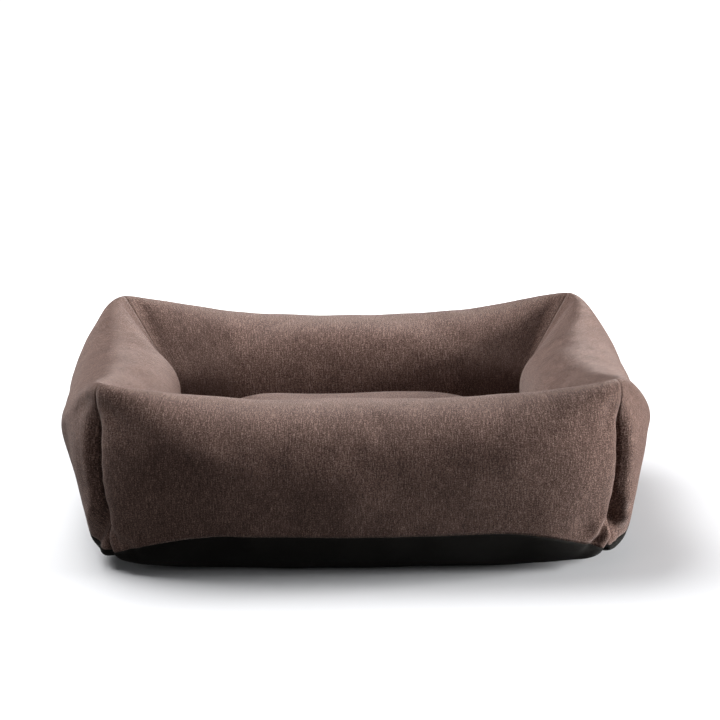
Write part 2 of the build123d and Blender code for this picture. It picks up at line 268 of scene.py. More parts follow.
def cloth_material(name, yarn, slubs, mottle, shades, relief, roughness, sheen, sheen_tint,
                   from_object=False):
    """A woven cloth: yarn width in metres, how slubby and mottled it is, and shades from dark to pale."""
    material, nodes, links, shader = new_material(name)
    weave = nodes.new("ShaderNodeGroup")
    weave.node_tree = woven_cloth
    links.new(along_yarns(nodes, links, from_object), weave.inputs["Vector"])
    set_inputs(weave, {"Yarn width": yarn, "Slubs": slubs, "Mottle": mottle})
    paint(links, weave.outputs["Mask"], nodes.new("ShaderNodeValToRGB"), shades, shader)
    emboss(links, weave.outputs["Height"], nodes.new("ShaderNodeBump"), relief, yarn * 0.5, shader)
    set_inputs(shader, {
        "Roughness": roughness, "Specular IOR Level": 0.15,
        "Sheen Weight": sheen, "Sheen Roughness": 0.4, "Sheen Tint": (*sheen_tint, 1),
    })
    return material


tweed = cloth_material(
    "brown tweed", yarn=0.00085, slubs=0.26, mottle=1.75,
    shades=[(0.022, 0.0115, 0.009), (0.070, 0.038, 0.030), (0.150, 0.090, 0.072), (0.36, 0.245, 0.205)],
    relief=0.7, roughness=0.92, sheen=0.34, sheen_tint=(0.98, 0.84, 0.79),
)
base_cloth = cloth_material(
    "black base cloth", yarn=0.0009, slubs=0.15, mottle=0.7,
    shades=[(0.003, 0.0025, 0.002), (0.0068, 0.0058, 0.0048), (0.017, 0.015, 0.013)],
    relief=0.5, roughness=0.92, sheen=0.06, sheen_tint=(0.8, 0.8, 0.8),
)

# ---------------------------------------------------------------------------------------------------------
# The ring of four stuffed walls. Each is one tweed panel from the black base cloth up the outside, over the
# crest and down into the well. They are sewn together at mitred corner seams, which stand up as ears. The
# walls are shaped first, stuffed as one closed form, and then parted at the seams.
corner_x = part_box("front_wall_cover")[1].x
corner_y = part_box("right_wall_cover")[1].y
wall_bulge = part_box("right_wall_cover")[1].x - corner_x
wall_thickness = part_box("front_wall_cover")[1].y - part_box("front_wall_cover")[0].y
ear_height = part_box("front_wall_cover")[1].z
crest_height = 0.174
corner_run = 0.135  # length at each end of a wall in which it narrows to its corner seam
mitre_reach = 0.066  # from an outer corner seam to the well's corner
crest_flat = 0.014
belly_radii = {"front": 0.058, "right": 0.060, "back": 0.056, "left": 0.064}
belly_setbacks = {"front": 0.012, "right": 0.020, "back": 0.007, "left": 0.030}
corner_belly_radius = 0.006
corner_lift = 0.014
corner_tuck = 0.014  # how far the bottom of a corner seam is drawn in
draw_in_height = 0.12  # height under which the ends of a wall are drawn in to its corner seams
pointed_heights = 0.125, 0.185  # heights between which the wall turns pointed towards its ears
ear_radius = 0.008
shoulder_radius, shoulder_height = 0.020, 0.128
# How a wall changes towards its ends, as powers of the share of the way to the corner seam.
bulge_fullness = 4.2, 0.58
foot_fullness = 2.6, 0.95  # near the floor the wall bows out less far along
ear_fullness = 2.9, 0.80  # and so it does near the ears
crest_rise, corner_rounding, well_rounding, tuck_sharpness = 2.15, 1.5, 1.4, 12
cloth_thickness = 0.0012
cover_cells, strip_cells = 58, 22
wall_cells = {"front": 100, "right": 84, "back": 100, "left": 84}
wall_turns = {"front": 0, "right": 1, "back": 2, "left": 3}


def between(start, end, share):
    return start + (end - start) * share


def eased(low, high, value):
    """A smooth step from 0 at low to 1 at high."""
    share = np.clip((value - low) / (high - low), 0, 1)
    return share * share * (3 - 2 * share)


def arc_points(centre, radius, start, end, count=16):
    turn = np.linspace(start, end, count)
    return np.stack([centre[0] + radius * np.cos(turn), centre[1] + radius * np.sin(turn)], axis=1)


def touching_angle(first, first_radius, second, second_radius):
    """Direction of the normal of the line that touches two circles on the left of the way between them."""
    way = np.subtract(second, first)
    return math.atan2(way[1], way[0]) + math.acos((first_radius - second_radius) / np.hypot(*way))


def evenly_spaced(points, count):
    """Evenly spaced points along a line of points, and the line's length."""
    steps = np.hypot(*np.diff(points, axis=0).T)
    length = np.concatenate([[0], np.cumsum(steps)])
    places = np.linspace(0, length[-1], count + 1)
    return np.stack([np.interp(places, length, points[:, axis]) for axis in range(2)], axis=1), length[-1]


def bulge(reach, fullness):
    """How far a wall bows out past its corner seams, at that share of the way to one of them."""
    return wall_bulge * (1 - reach ** fullness[0]) ** fullness[1]


def wall_cut(along, half_length, half_width, setback, belly_radius):
    """A wall's closed cross-section at that place along it: points (along, outward, up) and their length.

    The points run from the seam with the base cloth over the crest to the well's foot, then back below.
    """
    reach = min(abs(along) / half_length, 1.0)
    share = max(0.0, (abs(along) - half_length + corner_run) / corner_run)
    rise = reach**crest_rise
    bow = bulge(reach, bulge_fullness)
    draw_in = bow - bulge(reach, foot_fullness) + corner_tuck * reach**tuck_sharpness
    pointed = bow - bulge(reach, ear_fullness)
    outer = np.array([along, half_width + bow])
    inner_along = min(abs(along), half_length - corner_run) + share * (corner_run - mitre_reach)
    well_side, well_corner = half_width + wall_bulge - wall_thickness, half_width - mitre_reach
    inner = np.array([
        math.copysign(inner_along, along),
        between(well_side, well_corner, share**well_rounding),
    ])
    depth = np.hypot(*(inner - outer))
    crest_radius = (wall_thickness - crest_flat) / 2
    soft_share = share**corner_rounding
    outer_radius = between(crest_radius, ear_radius, soft_share)
    inner_radius = between(crest_radius, shoulder_radius, soft_share)
    belly = between(belly_radius, corner_belly_radius, soft_share)
    belly_centre = (between(setback, 0, soft_share) + belly, corner_lift * share**2 + belly)
    outer_centre = (outer_radius, between(crest_height, ear_height, rise) - outer_radius)
    inner_centre = (depth - inner_radius, between(crest_height, shoulder_height, rise) - inner_radius)
    foot = (depth, 0.0)
    face = touching_angle(belly_centre, belly, outer_centre, outer_radius)
    crest = touching_angle(outer_centre, outer_radius, inner_centre, inner_radius)
    under = touching_angle(foot, 0.0, belly_centre, belly)
    under -= 2 * math.pi * (under > 0)
    cover = np.concatenate([
        arc_points(belly_centre, belly, face, face, 1),
        arc_points(outer_centre, outer_radius, face, crest),
        arc_points(inner_centre, inner_radius, crest, 0.0),
        [foot],
    ])
    strip = np.concatenate([[foot], arc_points(belly_centre, belly, under, face - 2 * math.pi)])
    cover, cover_length = evenly_spaced(cover, cover_cells)
    strip, strip_length = evenly_spaced(strip, strip_cells)
    cut = np.concatenate([cover, strip[1:]])
    low, high = 1 - eased(0, draw_in_height, cut[:, 1]), eased(*pointed_heights, cut[:, 1])
    cut[:, 0] += (draw_in * low + pointed * high) * (1 - cut[:, 0] / depth)
    way = (inner - outer) / depth
    points = np.column_stack([outer[0] + cut[:, 0] * way[0], outer[1] + cut[:, 0] * way[1], cut[:, 1]])
    return points, cover_length + strip_length


def wall_places(half_length, cells):
    """Places along a wall, closer together towards its corner seams."""
    spread = 0.62 * math.pi / 2
    steps = np.linspace(-1, 1, cells + 1)
    return [half_length * math.sin(spread * step) / math.sin(spread) for step in steps]


def points_of(piece):
    points = np.zeros(len(piece.data.vertices) * 3)
    piece.data.vertices.foreach_get("co", points)
    return points.reshape(-1, 3)


def put_points(piece, points):
    piece.data.vertices.foreach_set("co", np.ascontiguousarray(points).ravel())
    piece.data.update()


def settle(piece, height=0.0):
    """Lifts what lies lower than that height up to it."""
    points = points_of(piece)
    points[:, 2] = np.maximum(points[:, 2], height)
    put_points(piece, points)


def normals_of(piece):
    normals = np.zeros(len(piece.data.vertices) * 3)
    piece.data.vertex_normals.foreach_get("vector", normals)
    return normals.reshape(-1, 3)


def centres_of(piece):
    centres = np.zeros(len(piece.data.polygons) * 3)
    piece.data.polygons.foreach_get("center", centres)
    return centres.reshape(-1, 3)


def cloth_grid(name, cells_u, cells_v):
    """A grid of cloth, still flat, with the column and row of each of its points."""
    bpy.ops.mesh.primitive_grid_add(x_subdivisions=cells_u, y_subdivisions=cells_v, size=2)
    piece = bpy.context.object
    piece.name = name
    piece.data.uv_layers[0].name = "UVMap"
    flat = points_of(piece)
    column = np.rint((flat[:, 0] + 1) / 2 * cells_u).astype(int)
    row = np.rint((flat[:, 1] + 1) / 2 * cells_v).astype(int)
    return piece, column, row


def lay_yarns(piece, coordinates):
    """Sets the UV map from each point's place along the yarns, in metres."""
    corner_of = np.zeros(len(piece.data.loops), dtype=int)
    piece.data.loops.foreach_get("vertex_index", corner_of)
    piece.data.uv_layers["UVMap"].data.foreach_set("uv", coordinates[corner_of].ravel())


def mark_faces(piece, mark):
    """Notes on every face which panel it belongs to, so that the panels can be parted later."""
    panel = piece.data.attributes.new("panel", "INT", "FACE")
    panel.data.foreach_set("value", np.full(len(piece.data.polygons), mark))


def sew_wall(name):
    """One wall as a closed tube of cloth, its base strip in a material slot of its own."""
    half_length, half_width = (corner_x, corner_y) if name in ("front", "back") else (corner_y, corner_x)
    cells, around = wall_cells[name], cover_cells + strip_cells
    wall, column, row = cloth_grid(f"{name}_wall", cells, around)
    places = wall_places(half_length, cells)
    belly = belly_setbacks[name], belly_radii[name]
    cuts = [wall_cut(place, half_length, half_width, *belly) for place in places]
    shape = np.array([cut[0] for cut in cuts])
    spot = shape[column, row]
    spot[:, 1] *= -1
    for _ in range(wall_turns[name]):
        spot = np.column_stack([-spot[:, 1], spot[:, 0], spot[:, 2]])
    put_points(wall, spot)
    steps = np.linalg.norm(np.diff(shape[:, cover_cells // 3], axis=0), axis=1)
    along = np.concatenate([[0], np.cumsum(steps)])[column]
    around_length = np.mean([cut[1] for cut in cuts])
    panel_shift = wall_turns[name] * 1.37  # so that no two walls show the same yarns
    lay_yarns(wall, np.column_stack([along, row * around_length / around]) + panel_shift)
    wall.data.materials.append(tweed)
    wall.data.materials.append(base_cloth)
    for polygon in wall.data.polygons:
        polygon.material_index = int(max(row[point] for point in polygon.vertices) > cover_cells)
    mark_faces(wall, wall_turns[name])
    return wall


def select_only(*pieces):
    bpy.ops.object.select_all(action="DESELECT")
    for piece in pieces:
        piece.select_set(True)
    bpy.context.view_layer.objects.active = pieces[0]


def sew_together(name, pieces, outwards=True):
    """Joins pieces at the edges where they meet."""
    select_only(*pieces)
    bpy.ops.object.join()
    whole = bpy.context.object
    whole.name = name
    bpy.ops.object.mode_set(mode="EDIT")
    bpy.ops.mesh.select_all(action="SELECT")
    bpy.ops.mesh.remove_doubles(threshold=0.0002)
    if outwards:
        bpy.ops.mesh.normals_make_consistent(inside=False)
    bpy.ops.object.mode_set(mode="OBJECT")
    return whole


def finish_with(piece, kind, **settings):
    """Adds a modifier with those settings and applies it."""
    modifier = piece.modifiers.new(kind.lower(), kind)
    for name, value in settings.items():
        setattr(modifier, name, value)
    select_only(piece)
    bpy.ops.object.modifier_apply(modifier=modifier.name)


def stuff(piece, free, pressure, growth, frames, cap):
    """Stuffs a closed cloth form by simulation. Each point may move by its free share of the cap."""
    start = points_of(piece)
    pins = piece.vertex_groups.new(name="sewn down")
    looser = piece.vertex_groups.new(name="gathered cloth")
    for index, share in enumerate(free):
        pins.add([index], float(1 - share), "REPLACE")
        looser.add([index], float(growth[index]), "REPLACE")
    cloth = piece.modifiers.new("stuffing", "CLOTH")
    settings = cloth.settings
    settings.quality = 5
    settings.mass = 0.25
    settings.tension_stiffness = settings.compression_stiffness = 25
    settings.shear_stiffness = 12
    settings.bending_stiffness = 0.8
    settings.use_pressure = True
    settings.uniform_pressure_force = pressure
    settings.vertex_group_mass = pins.name
    settings.vertex_group_shrink = looser.name
    settings.shrink_min = 0.0
    settings.shrink_max = -0.08
    settings.effector_weights.gravity = 0
    cloth.point_cache.frame_start, cloth.point_cache.frame_end = 1, frames
    for frame_number in range(1, frames + 1):
        scene.frame_set(frame_number)
    select_only(piece)
    bpy.ops.object.modifier_apply(modifier=cloth.name)
    scene.frame_set(1)
    piece.vertex_groups.clear()
    moved = points_of(piece) - start
    reach = np.linalg.norm(moved, axis=1, keepdims=True)
    moved *= cap * np.tanh(reach / cap) / np.maximum(reach, 1e-9) * free[:, None]
    put_points(piece, start + moved)


def past_seam(points):
    """How far points lie from the nearest corner seam: over 0 on a side wall, under 0 on the others."""
    return (np.abs(points[:, 0]) - corner_x) - (np.abs(points[:, 1]) - corner_y)


def zip_plane(owner, middle_y, middle_z, up_y, up_z):
    """A zip lies flat along X. This is its middle, its own up direction and the direction that it faces."""
    return {
        "length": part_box(f"{owner}_zip_upper_coil")[1].x * 2,
        "centre": np.array([0, middle_y, middle_z]),
        "up": np.array([0, up_y, up_z]),
        "face": np.array([0, up_z, -up_y]),
    }


bed_zip = zip_plane("bed", 0.25268, 0.05002, 0.106812, 0.994279)
slot_half_width, slot_end_room = 0.0055, 0.005
zip_still_reach = 0.04  # cloth nearer to a zip than this is held flat
zip_room = 0.009


def from_zip(points, zipper):
    """Where points lie along a zip, up from its middle and out from its plane."""
    apart = points - zipper["centre"]
    return apart[:, 0], apart @ zipper["up"], apart @ zipper["face"]


def flat_by_zip(points, zipper, reach):
    """1 at the zip and 0 further off than that reach."""
    along, up, out = from_zip(points, zipper)
    beyond_end = np.maximum(np.abs(along) - zipper["length"] / 2 - zip_room, 0)
    beyond_side = np.maximum(np.abs(up) - zip_room, 0)
    near = 1 - eased(0, reach, np.hypot(beyond_end, beyond_side))
    return near * (np.abs(out) < 0.03)


def press_to_zip(points, zipper):
    """Lays the points by a zip in its plane."""
    out = from_zip(points, zipper)[2]
    return points - np.outer(out * flat_by_zip(points, zipper, zip_still_reach / 2), zipper["face"])


ring = sew_together("wall_ring", [sew_wall(name) for name in wall_turns])
points = points_of(ring)
at_seam = eased(0.0, 0.014, np.abs(past_seam(points)))
free = at_seam * (1 - flat_by_zip(points, bed_zip, zip_still_reach))
gathers = 1 - eased(0.01, 0.09, np.abs(past_seam(points)))
stuff(ring, free, pressure=3.0, growth=gathers, frames=20, cap=0.010)
finish_with(ring, "SUBSURF", levels=1, render_levels=1)

# Creases where the cloth is drawn in at the corners. Each is (past the corner seam, height, half length,
# half width, tilt in degrees, depth), in metres: a groove pressed into the wall, with a low swell round it.
front_left_creases = [
    (0.014, 0.045, 0.026, 0.011, -46, 0.018),
    (-0.015, 0.040, 0.018, 0.007, 59, 0.006),
    (-0.034, 0.032, 0.022, 0.008, 35, 0.0045),
    (0.030, 0.105, 0.040, 0.010, 80, 0.0015),
    (-0.022, 0.176, 0.026, 0.008, 35, 0.0022),
    (0.024, 0.178, 0.030, 0.009, -28, 0.0022),
]
front_right_creases = [
    (0.012, 0.047, 0.022, 0.012, -52, 0.024),
    (0.005, 0.036, 0.016, 0.005, -55, 0.010),
    (-0.020, 0.043, 0.014, 0.007, 60, 0.0085),
    (-0.032, 0.028, 0.012, 0.006, 20, 0.0075),
    (0.034, 0.062, 0.024, 0.009, 10, 0.005),
    (-0.020, 0.172, 0.030, 0.008, 50, 0.0025),
    (0.028, 0.180, 0.034, 0.008, -20, 0.0030),
]
swell_width, swell_share = 2.4, 0.45  # against the groove
corner_creases = {
    (-1, -1): front_left_creases,
    (1, -1): front_right_creases,
    (-1, 1): front_right_creases,
    (1, 1): front_left_creases,
}


def crease_depth(points, crease):
    past, height, half_length, half_width, tilt, depth = crease
    side, up = past_seam(points) - past, points[:, 2] - height
    turn = math.radians(tilt)
    along = side * math.cos(turn) + up * math.sin(turn)
    across = up * math.cos(turn) - side * math.sin(turn)
    stretch = np.exp(-(along / half_length) ** 2)
    groove = np.exp(-(across / half_width) ** 2)
    swell = np.exp(-(across / (swell_width * half_width)) ** 2)
    return depth * stretch * (groove - swell_share * swell)


points, normals = points_of(ring), normals_of(ring)
past = past_seam(points)
outwardness = np.sum(normals[:, :2] * np.sign(points[:, :2]), axis=1)
facing_out = eased(-0.1, 0.5, outwardness)
pressed = np.zeros(len(points))
for (side_x, side_y), creases in corner_creases.items():
    here = (np.sign(points[:, 0]) == side_x) & (np.sign(points[:, 1]) == side_y)
    for crease in creases:
        pressed += here * facing_out * crease_depth(points, crease)

# The corner seams lie in a valley that deepens below the ears, and short gathers run out from them.
valley_depth, valley_width, valley_edge = 0.0090, 0.0095, 1.5
gather_depth, gather_pitch, gather_length, gather_gap = 0.0007, 0.026, 0.014, 0.005
below_ear = 1 - eased(0.150, 0.192, points[:, 2])
valley = facing_out * below_ear * np.exp(-np.abs(past / valley_width) ** valley_edge)
ripple = np.sin(2 * math.pi * points[:, 2] / gather_pitch + 2.0 * np.sin(points[:, 2] / 0.017))
gather = ripple * np.exp(-np.abs(past) / gather_length) * (1 - np.exp(-(past / gather_gap) ** 2))
pressed += valley_depth * valley + gather_depth * facing_out * gather

# Hand-stuffed filling leaves the walls slightly uneven, with shallow dips along the crests.
lump_depth = 0.0018
lumps = np.array([
    noise.noise(Vector(point) * 11.0 + Vector((3.7, 0, 0))) + 0.45 * noise.noise(Vector(point) * 27.0)
    for point in points
])
pressed += lump_depth * lumps * eased(0.0, 0.03, np.abs(past))
pressed *= 1 - flat_by_zip(points, bed_zip, zip_still_reach)
put_points(ring, press_to_zip(points - normals * pressed[:, None], bed_zip))
settle(ring)


def select_faces(piece, chosen):
    """Goes into edit mode with only the chosen faces selected."""
    select_only(piece)
    bpy.ops.object.mode_set(mode="EDIT")
    bpy.ops.mesh.select_mode(type="FACE")
    bpy.ops.mesh.select_all(action="DESELECT")
    mesh = bmesh.from_edit_mesh(piece.data)
    mesh.faces.ensure_lookup_table()
    for index in np.nonzero(chosen)[0]:
        mesh.faces[int(index)].select_set(True)
    bmesh.update_edit_mesh(piece.data)


def part_off(whole, name, mark, material=None):
    """Parts one panel from a sewn form, as a piece with that name."""
    marks = np.zeros(len(whole.data.polygons), dtype=int)
    whole.data.attributes["panel"].data.foreach_get("value", marks)
    chosen = marks == mark
    if material:
        slots = np.zeros(len(whole.data.polygons), dtype=int)
        whole.data.polygons.foreach_get("material_index", slots)
        chosen &= slots == whole.data.materials.find(material.name)
    select_faces(whole, chosen)
    bpy.ops.mesh.separate(type="SELECTED")
    bpy.ops.object.mode_set(mode="OBJECT")
    panel = next(piece for piece in bpy.context.selected_objects if piece != whole)
    panel.name = name
    return panel


def one_cloth(piece, material):
    """Leaves a piece with that material alone, and without its panel marks."""
    piece.data.materials.clear()
    piece.data.materials.append(material)
    piece.data.polygons.foreach_set("material_index", np.zeros(len(piece.data.polygons), dtype=int))
    if "panel" in piece.data.attributes:
        piece.data.attributes.remove(piece.data.attributes["panel"])


def open_slot(piece, zipper):
    """Cuts the opening for a zip out of a cloth."""
    half_length = zipper["length"] / 2 + slot_end_room

    def near(room):
        along, up, out = from_zip(centres_of(piece), zipper)
        inside = (np.abs(along) < half_length + room) & (np.abs(up) < slot_half_width + room)
        return inside & (np.abs(out) < 0.01)

    for axis, half in ((zipper["up"], slot_half_width), (np.array([1.0, 0, 0]), half_length)):
        for side in (-1, 1):
            select_faces(piece, near(0.01))
            bpy.ops.mesh.bisect(plane_co=zipper["centre"] + side * half * axis, plane_no=axis)
            bpy.ops.object.mode_set(mode="OBJECT")
    select_faces(piece, near(-0.00005))
    bpy.ops.mesh.delete(type="FACE")
    bpy.ops.object.mode_set(mode="OBJECT")


def thicken(piece, thickness, offset=-1):
    finish_with(piece, "SOLIDIFY", thickness=thickness, offset=offset, use_even_offset=False)


def smooth(piece):
    select_only(piece)
    bpy.ops.object.shade_smooth()


def put_cloth_on(piece, body, node, material):
    """Gives a stuffed panel its cloth and thickness, and puts it on its body in that node's place."""
    one_cloth(piece, material)
    thicken(piece, cloth_thickness)
    settle(piece)
    smooth(piece)
    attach(piece, body)
    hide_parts(node)


def copy_of(piece, name):
    twin = piece.copy()
    twin.data = piece.data.copy()
    twin.name = name
    scene.collection.objects.link(twin)
    return twin


stuffing_form = copy_of(ring, "stuffing_form")  # what the bags and fillings are cut from
base_strips = [part_off(ring, f"{name}_strip", turn, base_cloth) for name, turn in wall_turns.items()]
covers = {name: part_off(ring, f"{name}_cover", turn) for name, turn in wall_turns.items() if turn}
covers["front"] = ring  # what is left of the ring
ring.name = "front_cover"
open_slot(covers["back"], bed_zip)
for name, cover in covers.items():
    put_cloth_on(cover, "bed", f"{name}_wall_cover", tweed)

# ---------------------------------------------------------------------------------------------------------
# The base: one black cloth that lies flat under the well and wraps the foot of every wall up to its seam
# with the tweed. The seam at the back is open for the zip.
base = sew_together("base", base_strips, outwards=False)
select_only(base)
bpy.ops.object.mode_set(mode="EDIT")
bpy.ops.mesh.select_mode(type="EDGE")
bpy.ops.mesh.select_all(action="DESELECT")
mesh = bmesh.from_edit_mesh(base.data)
well_edge_inset = 0.05  # the edges round the well lie further in than this
for edge in mesh.edges:
    middle = (edge.verts[0].co + edge.verts[1].co) / 2
    inside = abs(middle.x) < corner_x - well_edge_inset and abs(middle.y) < corner_y - well_edge_inset
    if edge.is_boundary and inside:
        edge.select_set(True)
bmesh.update_edit_mesh(base.data)
bpy.ops.mesh.edge_face_add()
mesh = bmesh.from_edit_mesh(base.data)
floor_uv = mesh.loops.layers.uv["UVMap"]
for face in mesh.faces:
    if face.select:
        for loop in face.loops:
            loop[floor_uv].uv = loop.vert.co.xy
        if face.normal.z > 0:
            face.normal_flip()
bmesh.update_edit_mesh(base.data)
bpy.ops.object.mode_set(mode="OBJECT")
open_slot(base, bed_zip)
put_cloth_on(base, "bed", "base_panel", base_cloth)

# ---------------------------------------------------------------------------------------------------------
# Inside each wall: hollow polyester fibre in a bag of its own, of pale cotton ticking with sewn ends. Both
# are cut from the stuffed form, a little smaller than the cover, and dented where the zip presses on them.
ticking = cloth_material(
    "cotton ticking", yarn=0.0006, slubs=0.05, mottle=0.3,
    shades=[(0.55, 0.52, 0.45), (0.74, 0.71, 0.63), (0.85, 0.82, 0.75)],
    relief=0.3, roughness=0.85, sheen=0.1, sheen_tint=(1, 1, 1),
)
bag_inset, fill_inset = 0.0020, 0.0031
bag_end_inset, fill_end_inset = 0.010, 0.012
ticking_thickness = 0.0006
groove_depth, fill_groove_depth = 0.0047, 0.0058
groove_reach = 0.012


def fibre_material():
    """Crimped white polyester fibre: matted strands over soft clumps."""
    material, nodes, links, shader = new_material("polyester fibre")
    place = nodes.new("ShaderNodeTexCoord")
    strands, clumps = nodes.new("ShaderNodeTexNoise"), nodes.new("ShaderNodeTexNoise")
    set_inputs(strands, {"Scale": 900.0, "Detail": 4.0, "Distortion": 2.5})
    set_inputs(clumps, {"Scale": 70.0})
    together, half = nodes.new("ShaderNodeMath"), nodes.new("ShaderNodeMath")
    together.operation, half.operation = "ADD", "MULTIPLY"
    half.inputs[1].default_value = 0.5
    for index, texture in enumerate((strands, clumps)):
        links.new(place.outputs["Object"], texture.inputs["Vector"])
        links.new(texture.outputs["Fac"], together.inputs[index])
    links.new(together.outputs[0], half.inputs[0])
    shades = (0.68, 0.68, 0.66), (0.92, 0.92, 0.90)
    paint(links, half.outputs[0], nodes.new("ShaderNodeValToRGB"), shades, shader)
    emboss(links, together.outputs[0], nodes.new("ShaderNodeBump"), 0.6, 0.001, shader)
    set_inputs(shader, {"Roughness": 0.95})
    return material


polyester = fibre_material()


def draw_inside(piece, inset, zipper, depth):
    """Moves a closed form's surface inwards, and behind the zip."""
    points = points_of(piece) - normals_of(piece) * inset
    out = from_zip(points, zipper)[2]
    behind = np.maximum(out + depth, 0) * (flat_by_zip(points, zipper, groove_reach) > 0)
    put_points(piece, points - np.outer(behind, zipper["face"]))


def cut_core(form, name, mark, inset, end_inset, material):
    """A wall's bag or filling: one wall of the form, drawn inside and closed at both mitred ends."""
    twin = copy_of(form, "core_form")
    draw_inside(twin, inset, bed_zip, groove_depth if material == ticking else fill_groove_depth)
    core = part_off(twin, name, mark)
    bpy.data.objects.remove(twin)
    turned = mark % 2  # a side wall, along Y
    for side in (-1, 1):
        if turned:
            corner_side = np.array([1 if mark == 1 else -1, side, 0.0])
        else:
            corner_side = np.array([side, -1 if mark == 0 else 1, 0.0])
        to_middle = corner_side * (1 if turned else -1, -1 if turned else 1, 0)
        mitre = corner_side * (corner_x, corner_y, 0) + to_middle * end_inset / math.sqrt(2)
        select_faces(core, np.ones(len(core.data.polygons), dtype=bool))
        bpy.ops.mesh.bisect(plane_co=mitre, plane_no=to_middle, use_fill=True, clear_inner=True)
        bpy.ops.object.mode_set(mode="OBJECT")
    one_cloth(core, material)
    settle(core, inset)
    select_only(core)
    bpy.ops.object.shade_smooth_by_angle(angle=math.radians(50))
    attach(core, "bed")
    return core


for name, mark in wall_turns.items():
    fill = cut_core(stuffing_form, f"{name}_filling", mark, fill_inset, fill_end_inset, polyester)
    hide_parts(f"{name}_bolster_fill")
    bag = cut_core(stuffing_form, f"{name}_bag", mark, bag_inset, bag_end_inset, ticking)
    thicken(bag, ticking_thickness)
    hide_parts(f"{name}_bolster_bag")
bpy.data.objects.remove(stuffing_form)

# ---------------------------------------------------------------------------------------------------------
# The well's lining: a dark woven cloth laid on the base inside the walls. It lies flat under the cushion
# and ripples a little round its edge.
lining_cloth = cloth_material(
    "dark lining cloth", yarn=0.0008, slubs=0.1, mottle=0.8,
    shades=[(0.012, 0.010, 0.009), (0.03, 0.026, 0.024), (0.06, 0.054, 0.05)],
    relief=0.5, roughness=0.9, sheen=0.08, sheen_tint=(0.9, 0.85, 0.8),
)
lining_thickness = 0.0009
lining_gap = 0.0008  # between the lining's edge and the walls
lining_cells = 96, 72
ripple_height = 0.0016


def across_well(along, at_middle, at_corner):
    """Half the well's width at that share of the way from its middle: it is wider towards its corners."""
    return between(at_middle, at_corner, np.abs(along) ** 4)


lining, column, row = cloth_grid("lining", *lining_cells)
u, v = 2 * column / lining_cells[0] - 1, 2 * row / lining_cells[1] - 1
corner_well = [half - mitre_reach - lining_gap for half in (corner_x, corner_y)]
side_well = [half + wall_bulge - wall_thickness - lining_gap for half in (corner_x, corner_y)]
x = u * across_well(v, side_well[0], corner_well[0])
y = v * across_well(u, side_well[1], corner_well[1])
edge = eased(0.80, 1.0, np.maximum(np.abs(u), np.abs(v)))
ripples = np.array([noise.noise(Vector((*place, 5.3))) for place in zip(x * 45, y * 45)])
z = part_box("well_lining")[0].z + 0.0001 + edge * ripple_height * (ripples + 0.6)
put_points(lining, np.column_stack([x, y, z]))
lay_yarns(lining, np.column_stack([x, y]))
lining.data.materials.append(lining_cloth)
thicken(lining, lining_thickness, offset=1)
smooth(lining)
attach(lining, "bed")
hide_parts("well_lining")

# ---------------------------------------------------------------------------------------------------------
# The loose cushion: a crowned tweed top and a bottom, sewn together in a knife edge that pulls in between
# the corners, over a ticking bag of fibre. It is stuffed as one form. A zip lies under its back edge.
cushion_low, cushion_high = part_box("cushion_bottom_cover")
cushion_floor, cushion_seam = cushion_low.z, cushion_high.z
cushion_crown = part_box("cushion_top_cover")[1].z - 0.002  # stuffing lifts the crown by the rest
cushion_corner = np.array([cushion_high.x, cushion_high.y])
cushion_gap = 0.0052
cushion_side = np.array(side_well) - cushion_gap
crown_shoulder = 0.110  # width over which the top rises from its edge to its crown
bottom_bevel = [0, 0.0241, 0.0595, 0.103, 0.2]  # distance in from the edge, and height of the bottom there
bottom_heights = [cushion_seam, 0.0203, 0.0073, cushion_floor, cushion_floor]
cushion_cells = 76, 58
lying_height = 0.02  # below this the bottom is pressed flat on the lining
cushion_zip = zip_plane("cushion", 0.119531, 0.032986, 0.605584, 0.795782)


def cushion_plan(u, v):
    """Plan place of a point of the cushion, and how far in it lies from the long and the short sides."""
    half_x = between(cushion_side[0], cushion_corner[0], np.abs(v) ** 3)
    half_y = between(cushion_side[1], cushion_corner[1], np.abs(u) ** 3)
    return u * half_x, v * half_y, (1 - np.abs(u)) * half_x, (1 - np.abs(v)) * half_y


def crown_share(inset):
    share = np.clip(1 - inset / crown_shoulder, 0, 1)
    return np.sqrt(1 - share**2)


def cushion_panel(name, mark, top):
    panel, column, row = cloth_grid(name, *cushion_cells)
    spread = 0.8 * math.pi / 2  # draws the rows together towards the edge
    places = [2 * place / cells - 1 for place, cells in zip((column, row), cushion_cells)]
    x, y, *insets = cushion_plan(*np.sin(spread * np.array(places)) / math.sin(spread))
    if top:
        z = between(cushion_seam, cushion_crown, crown_share(insets[0]) * crown_share(insets[1]))
    else:
        bottoms = np.interp(insets, bottom_bevel, bottom_heights)
        drops = (cushion_seam - bottoms) / (cushion_seam - cushion_floor)
        z = between(cushion_seam, cushion_floor, drops[0] * drops[1])
    put_points(panel, np.column_stack([x, y, z]))
    lay_yarns(panel, np.column_stack([x, y]) + 5.1 + mark)
    panel.data.materials.append(tweed)
    mark_faces(panel, mark)
    return panel


cushion = sew_together("cushion_form", [cushion_panel("top", 0, True), cushion_panel("bottom", 1, False)])
points = points_of(cushion)
shares = np.clip(points[:, :2] / cushion_corner, -1, 1).T
by_edge = np.hypot(np.minimum(*cushion_plan(*shares)[2:]), points[:, 2] - cushion_seam)
free = eased(-0.004, 0.02, by_edge) * (1 - flat_by_zip(points, cushion_zip, zip_still_reach))
free *= eased(cushion_floor, lying_height, points[:, 2])
stuff(cushion, free, pressure=3.0, growth=1 - eased(0.0, 0.07, by_edge), frames=16, cap=0.006)
finish_with(cushion, "SUBSURF", levels=1, render_levels=1)

